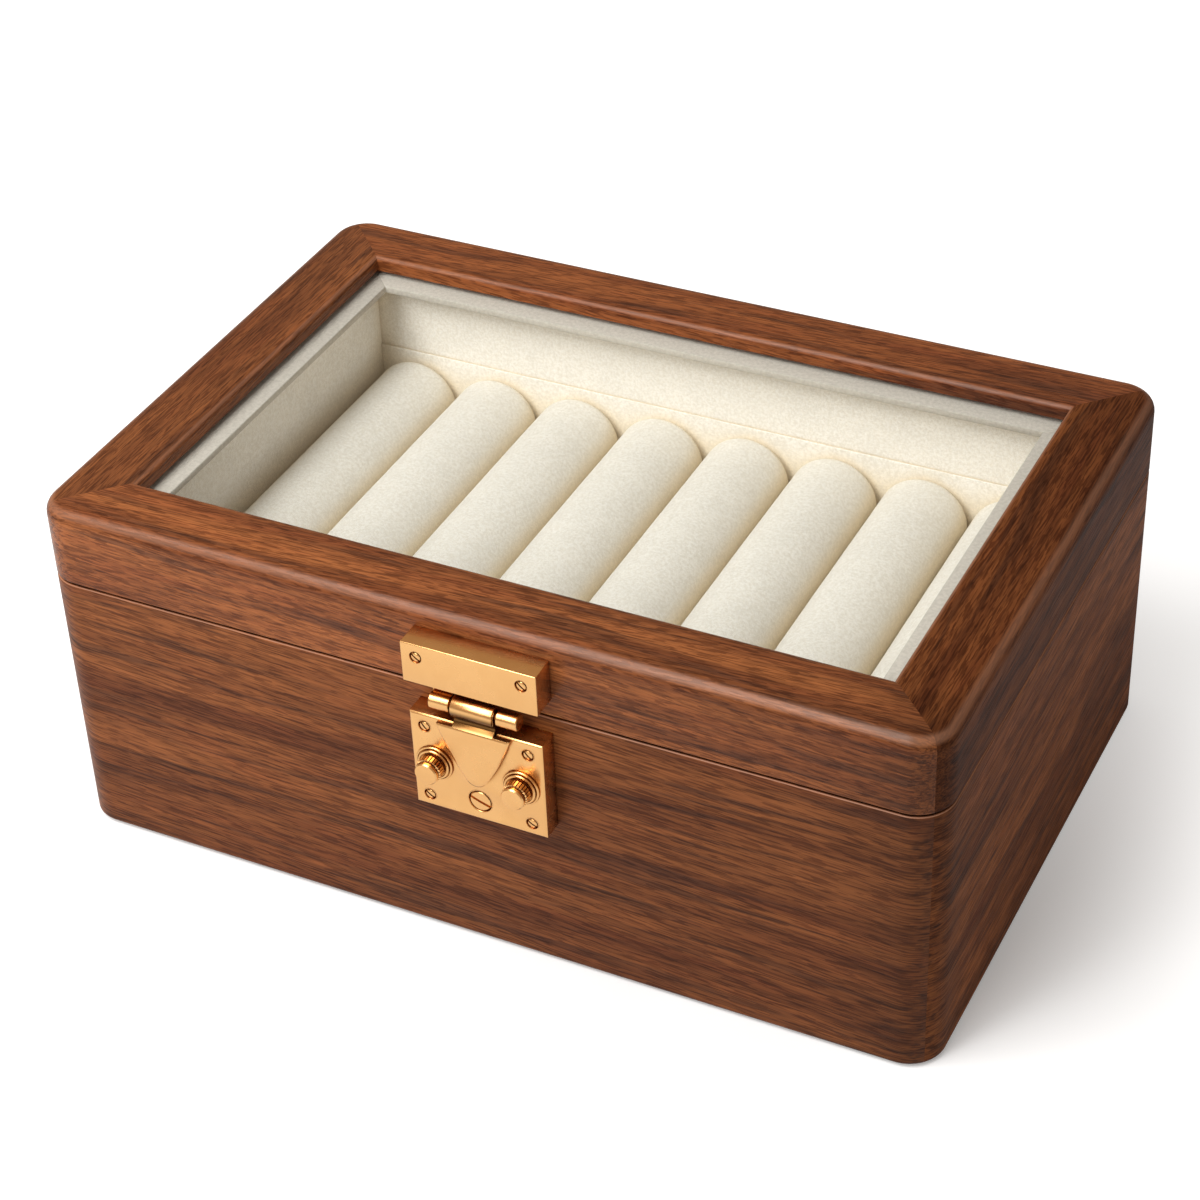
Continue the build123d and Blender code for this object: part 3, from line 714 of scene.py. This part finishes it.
def padded_roll(number):
    """A stuffed suede roll: full in the middle, rounded into its end, and never quite even."""
    node = f"roll_{number}"
    axis = Vector((middle(node).x, 0, ROLL_Z))
    full_r = ROLL_R - ROLL_SLACK
    end = arc((full_r - ROLL_END_R, -ROLL_HALF + ROLL_END_R), ROLL_END_R, -90, 0, 8)
    profile = [(0.0, -ROLL_HALF + 0.7), (ROLL_R * 0.45, -ROLL_HALF + 0.45)] + end
    for i in range(1, ROLL_RINGS):
        t = i / ROLL_RINGS
        profile.append((full_r + ROLL_CROWN * t * (1 - t), end[-1][1] * (1 - 2 * t)))
    profile += [(r, -h) for r, h in reversed(end)]
    profile += [(ROLL_R * 0.45, ROLL_HALF - 0.45), (0.0, ROLL_HALF - 0.7)]
    bm = lathe(profile, axis, (0, 1, 0), ROLL_SIDES)
    for v in bm.verts:
        out = Vector((v.co.x - axis.x, 0, v.co.z - axis.z))
        if out.length > ROLL_R * 0.5:
            spot = Vector([c / size for c, size in zip(v.co, LUMP_SIZE)]) + Vector((number * 7.3, 0, 0))
            v.co -= out.normalized() * LUMP * (0.5 + 0.5 * noise.noise(spot))
    stands_for = [node, f"core_{number}"]
    made = piece(node + "_suede", bm, "bangle_" + node, ROLL_SUEDE, stands_for, 60)


def interior():
    for node in ("floor_lining", *("lining_" + side for side in SIDES)):
        covered_board(node)
    covered_rail("rail_front")
    covered_rail("rail_back")
    for number in range(1, ROLL_COUNT + 1):
        padded_roll(number)


def retainer(side):
    """A pale mitred strip below the glass."""
    node = "retainer_" + side
    start, end = low(node), high(node)
    width = high("retainer_front").y - low("retainer_front").y
    half = end.x if side in ("front", "back") else end.y
    depth = -low("retainer_front").y if side in ("front", "back") else -low("retainer_left").x
    spin = side_spin(side)
    plan = [(-half, -depth), (half, -depth), (half - width, width - depth), (width - half, width - depth)]
    points = [spin @ Vector((x, y, z)) for z in (start.z, end.z) for x, y in plan]
    faces = [(0, 1, 2, 3), (4, 5, 6, 7)] + [(i, (i + 1) % 4, (i + 1) % 4 + 4, i + 4) for i in range(4)]
    bm = soften(tidy(from_faces(points, faces)), 0.25, 2, 50)
    piece(node + "_strip", bm, "lid", STRIP, [node], 60)


def dressed(node, body, edge=0.12, rim=0.0, cut=None):
    """A CAD piece with its flat faces joined up, its edges slightly rounded and its front rim more so."""
    bm = bmesh.new()
    bm.from_mesh(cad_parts[node].data)
    bmesh.ops.scale(bm, vec=(1 / MM, 1 / MM, 1 / MM), verts=bm.verts)
    tidy(bm, 0.002)
    if cut:
        bm = without(bm, box_mesh(*cut))
    bmesh.ops.dissolve_limit(bm, angle_limit=radians(0.5), verts=bm.verts, edges=bm.edges)
    if rim:
        front = min(v.co.y for v in bm.verts) + 0.01
        edges = [e for e in turned_edges(bm, 28) if max(v.co.y for v in e.verts) < front]
        bevel(bm, edges, rim, 3, clamp=False)
    soften(bm, edge, 2, 28)
    piece(node + "_metal", bm, body, GOLD, [node], 30)


def slotted_head(name, point, radii, angle, body, stands_for=()):
    """A domed slotted screw head in a countersunk ring, facing -Y, its rim level with point."""
    head, ring = radii
    profile = [(0.0, -SCREW_SINK), (ring, -SCREW_SINK), (ring, 0.0), (ring - 0.1, 0.04), (ring - 0.2, 0.0)]
    profile += [(head + 0.2, -0.8), (head + 0.05, -0.8), (head, -0.2), (head - 0.15, -0.05)]
    profile += [(head * 0.6, 0.05), (0.0, 0.1)]
    bm = lathe(profile, point, (0, -1, 0), 48)
    half = 0.12 + head * 0.1
    slot = box_mesh((-head - 0.1, -1, -half), (head + 0.1, 0.55, half))
    slot.transform(Matrix.Translation(Vector(point)) @ Matrix.Rotation(radians(angle), 4, "Y"))
    piece(name, without(bm, slot), body, GOLD, stands_for, 35)


def screw_row(name, node, body, spots, front_y, angles):
    """Small slotted screws at (sign, height) spots; the first stands for the CAD screws."""
    for number, ((sign, z), angle) in enumerate(zip(spots, angles), start=1):
        point = (CLASP_X + sign * SCREW_X, front_y, z)
        slotted_head(f"{name}_{number}", point, SMALL_HEAD, angle, body, [node] if number == 1 else [])


def clasp_screws():
    """Two screws in the block, four in the case and a larger one below the tongue."""
    block_z = middle("clasp_block_screws").z
    block_spots = [(sign, block_z) for sign in (-1, 1)]
    screw_row("block_screw", "clasp_block_screws", "lid", block_spots, BLOCK_FRONT_Y, (38, 42))
    heights = (low("lock_screws").z + SCREW_HEAD_R, high("lock_screws").z - SCREW_HEAD_R)
    case_spots = [(sign, z) for sign in (-1, 1) for z in heights]
    screw_row("case_screw", "lock_screws", "base", case_spots, CASE_FRONT_Y, (35, 50, 30, 47))
    centre = middle("lock_centre_screw")
    point = (centre.x, CASE_FRONT_Y, centre.z)
    slotted_head("centre_screw", point, LARGE_HEAD, 20, "base", ["lock_centre_screw"])


def knob(side):
    """Turn-knob: stepped flange, straight knurl and plain cap, all from one bar, and its spindle."""
    centre = middle(side + "_knob")
    start = Vector((centre.x, CASE_FRONT_Y - 0.1, centre.z))
    steps = KNURL_TEETH * len(KNURL_FORM)
    start_z, end_z = KNURL_Z
    rows = [(r, z, 0.0) for r, z in KNOB_FOOT]
    rows += [(KNURL_R - KNURL_DEPTH, start_z + 0.05, 0.0), (KNURL_R, start_z + 0.3, KNURL_DEPTH)]
    rows += [(KNURL_R, end_z - 0.3, KNURL_DEPTH), (KNURL_R - KNURL_DEPTH, end_z - 0.05, 0.0)]
    rows += [(r, z, 0.0) for r, z in KNOB_CAP]
    bm = bmesh.new()
    rings = []
    for radius, height, tooth in rows:
        ring = []
        for i in range(steps):
            share, groove = KNURL_FORM[i % len(KNURL_FORM)]
            angle = 2 * pi * (i // len(KNURL_FORM) + share) / KNURL_TEETH
            reach = radius - tooth * groove
            point = (start.x + reach * cos(angle), start.y - height, start.z + reach * sin(angle))
            ring.append(bm.verts.new(point))
        rings.append(ring)
    for below, above in zip(rings, rings[1:]):
        for i in range(steps):
            j = (i + 1) % steps
            bm.faces.new((below[i], below[j], above[j], above[i]))
    bm.faces.new(rings[0])
    bm.faces.new(rings[-1])
    bmesh.ops.recalc_face_normals(bm, faces=bm.faces)
    body = side + "_turn_knob"
    piece(side + "_turned_knob", bm, body, GOLD, [side + "_knob"], 28)
    spindle = lathe(SPINDLE, (start.x, start.y + 0.05, start.z), (0, 1, 0), 32)
    piece(side + "_spindle", spindle, body, GOLD, (), 30)


def tongue_neck():
    """The rolled neck of the tongue: round over the pin, then dished towards the plate."""
    front = low("clasp_tongue").y + 0.15
    round_part = arc((PIVOT.y, PIVOT.z), NECK_R, 20, 180 + NECK_DIP, 28)
    turn_y, turn_z = round_part[-1]
    dip = radians(NECK_DIP)
    dished = arc((turn_y - NECK_DISH * cos(dip), turn_z - NECK_DISH * sin(dip)), NECK_DISH, NECK_DIP, -40, 14)
    section = round_part + dished[1:] + [(front, NECK_FOOT_Z), (front + 1.2, NECK_FOOT_Z - 0.3)]
    section += [(PIVOT.y + 1.0, PIVOT.z - 1.5)]
    bm = bar(section, CLASP_X - NECK_HALF, CLASP_X + NECK_HALF)
    ends = [e for e in bm.edges if len({round(v.co.x, 3) for v in e.verts}) == 1]
    bevel(bm, ends, 0.25, 2)
    piece("tongue_neck", bm, "tongue", NECK_GOLD, (), 35)


def tongue():
    """The tongue's plate and hook, with its straight neck cut off for the rolled one."""
    half = NECK_HALF + 1
    start = (CLASP_X - half, PIVOT.y - 4, NECK_FOOT_Z)
    end = (CLASP_X + half, PIVOT.y - 1, PIVOT.z - 1.8)
    dressed("clasp_tongue", "tongue", 0.1, rim=0.6, cut=(start, end))
    tongue_neck()


def clasp_block():
    """The block on the lid front, with the two round lugs below it that carry the pin."""
    start, end = low("clasp_block"), high("clasp_block")
    bottom = PIVOT.z + BLOCK_ABOVE_PIN
    body = soften(box_mesh((start.x, start.y, bottom), end), BLOCK_EDGE, 3)
    hole_r = SMALL_HEAD[1] - 0.05
    hole_end = SCREW_SINK + 0.1
    hole = [(0, -1.0), (hole_r, -1.0), (hole_r, hole_end), (0, hole_end)]
    places = [(CLASP_X + sign * SCREW_X, start.y, middle("clasp_block_screws").z) for sign in (-1, 1)]
    body = without(body, *[lathe(hole, place, (0, 1, 0), 48) for place in places])
    parts = []
    for sign in (-1, 1):
        inner, outer = (CLASP_X + sign * x for x in LUG_X)
        length = LUG_X[1] - LUG_X[0]
        profile = [(0, 0), (LUG_R - 0.2, 0), (LUG_R, 0.2)]
        profile += [(LUG_R, length - 0.3), (LUG_R - 0.3, length), (0, length)]
        turned = lathe(profile, (inner, PIVOT.y, PIVOT.z), (sign, 0, 0), 64)
        near, far = sorted((inner, outer))
        web_front, web_back = (PIVOT.y + y for y in WEB_Y)
        parts += [turned, box_mesh((near, web_front, PIVOT.z), (far, web_back, bottom + 1))]
    piece("clasp_block_metal", combined(body, parts, "UNION"), "lid", GOLD, ["clasp_block"], 30)


def clasp():
    clasp_block()
    dressed("clasp_pin", "lid", 0.15)
    tongue()
    dressed("lock_case", "base", 0.1, rim=0.35)
    dressed("lock_back_plate", "base", 0.05)
    clasp_screws()
    for side in ("left", "right"):
        knob(side)
        dressed(side + "_cam", side + "_turn_knob", 0.06)


def hinges():
    for hinge in HINGES:
        dressed(hinge + "_lower_leaf", "base", 0.08)
        dressed(hinge + "_upper_leaf", "lid", 0.08)
    dressed("hinge_pins", "base", 0.1)


def dress_plain_nodes():
    for node, material in (("bottom_panel", PANEL_WOOD), ("base_felt", FELT), ("glass_pane", GLASS)):
        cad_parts[node].data.materials.clear()
        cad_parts[node].data.materials.append(material)


def camera():
    azimuth, elevation, roll = radians(AZIMUTH), radians(ELEVATION), radians(ROLL)
    back = Vector((sin(azimuth) * cos(elevation), -cos(azimuth) * cos(elevation), sin(elevation)))
    level = Vector((0, 0, 1)).cross(back).normalized()
    upright = back.cross(level)
    right = cos(roll) * level + sin(roll) * upright
    up = cos(roll) * upright - sin(roll) * level
    place = AIM[0] * right + AIM[1] * up + DISTANCE * back
    data = bpy.data.cameras.new("camera")
    data.lens = LENS
    data.sensor_width = SENSOR
    data.clip_start = 0.01
    item = bpy.data.objects.new("camera", data)
    bpy.context.scene.collection.objects.link(item)
    axes = Matrix((right, up, back)).transposed().to_4x4()
    item.matrix_world = Matrix.Translation(place * MM) @ axes
    bpy.context.scene.camera = item


def area_light(name, place, aim, size, power):
    data = bpy.data.lights.new(name, "AREA")
    data.shape = "RECTANGLE"
    data.size, data.size_y = size
    data.energy = power
    item = bpy.data.objects.new(name, data)
    bpy.context.scene.collection.objects.link(item)
    item.location = place
    item.rotation_euler = (Vector(aim) - Vector(place)).to_track_quat("-Z", "Y").to_euler()


def lights():
    area_light("key", *KEY_LAMP)
    area_light("edge", *EDGE_LAMP)
    world = bpy.data.worlds.new("studio")
    bpy.context.scene.world = world
    world.use_nodes = True
    studio = Nodes(world.node_tree)
    mirrored = studio.node("ShaderNodeLightPath", out="Is Glossy Ray")
    seen = studio.node("ShaderNodeLightPath", out="Is Camera Ray")
    colour = studio.mix(mirrored, WORLD_LIGHT, WORLD_MIRRORED)
    studio.put(world.node_tree.nodes["Background"].inputs["Color"], studio.mix(seen, colour, WHITE))


def floor():
    """White paper; a glow that only the camera sees keeps it as white as the backdrop, and as painted light
    it is weaker near the box and stronger towards the back, where it lightens the box's shadow.
    """
    bm = bmesh.new()
    bmesh.ops.create_grid(bm, x_segments=1, y_segments=1, size=FLOOR_HALF)
    mesh = bpy.data.meshes.new("floor")
    bm.to_mesh(mesh)
    bm.free()
    paper = Finish("floor_paper", {"Roughness": 0.9, "Specular IOR Level": 0.0, "Emission Strength": 1.0})
    paper.feed({"Base Color": tone(240, 240, 240)})
    place = paper.place()
    away = paper.node("ShaderNodeVectorMath", {"operation": "LENGTH"}, {0: place}, "Value") * (1 / MM)
    glow = paper.step(away, *NEAR_GLOW_FROM, NEAR_GLOW) + paper.step(away, *FAR_GLOW_FROM, FAR_GLOW)
    # Painted light: the floor glows more towards the back, lightening the box's shadow there
    glow = glow + paper.step(paper.part(place, 1), *BACK_GLOW_FROM, BACK_GLOW)
    glow = paper.node("ShaderNodeLightPath", out="Is Camera Ray") * glow
    paper.feed({"Emission Color": paper.colour(glow, glow, glow)})
    mesh.materials.append(paper.material)
    item = bpy.data.objects.new("floor", mesh)
    bpy.context.scene.collection.objects.link(item)
    item.location = (0, 0, -FLOOR_DROP * MM)


camera()
wooden_case()
interior()
for side_name in SIDES:
    retainer(side_name)
clasp()
hinges()
dress_plain_nodes()
floor()
lights()
bpy.context.scene.view_settings.view_transform = "Standard"
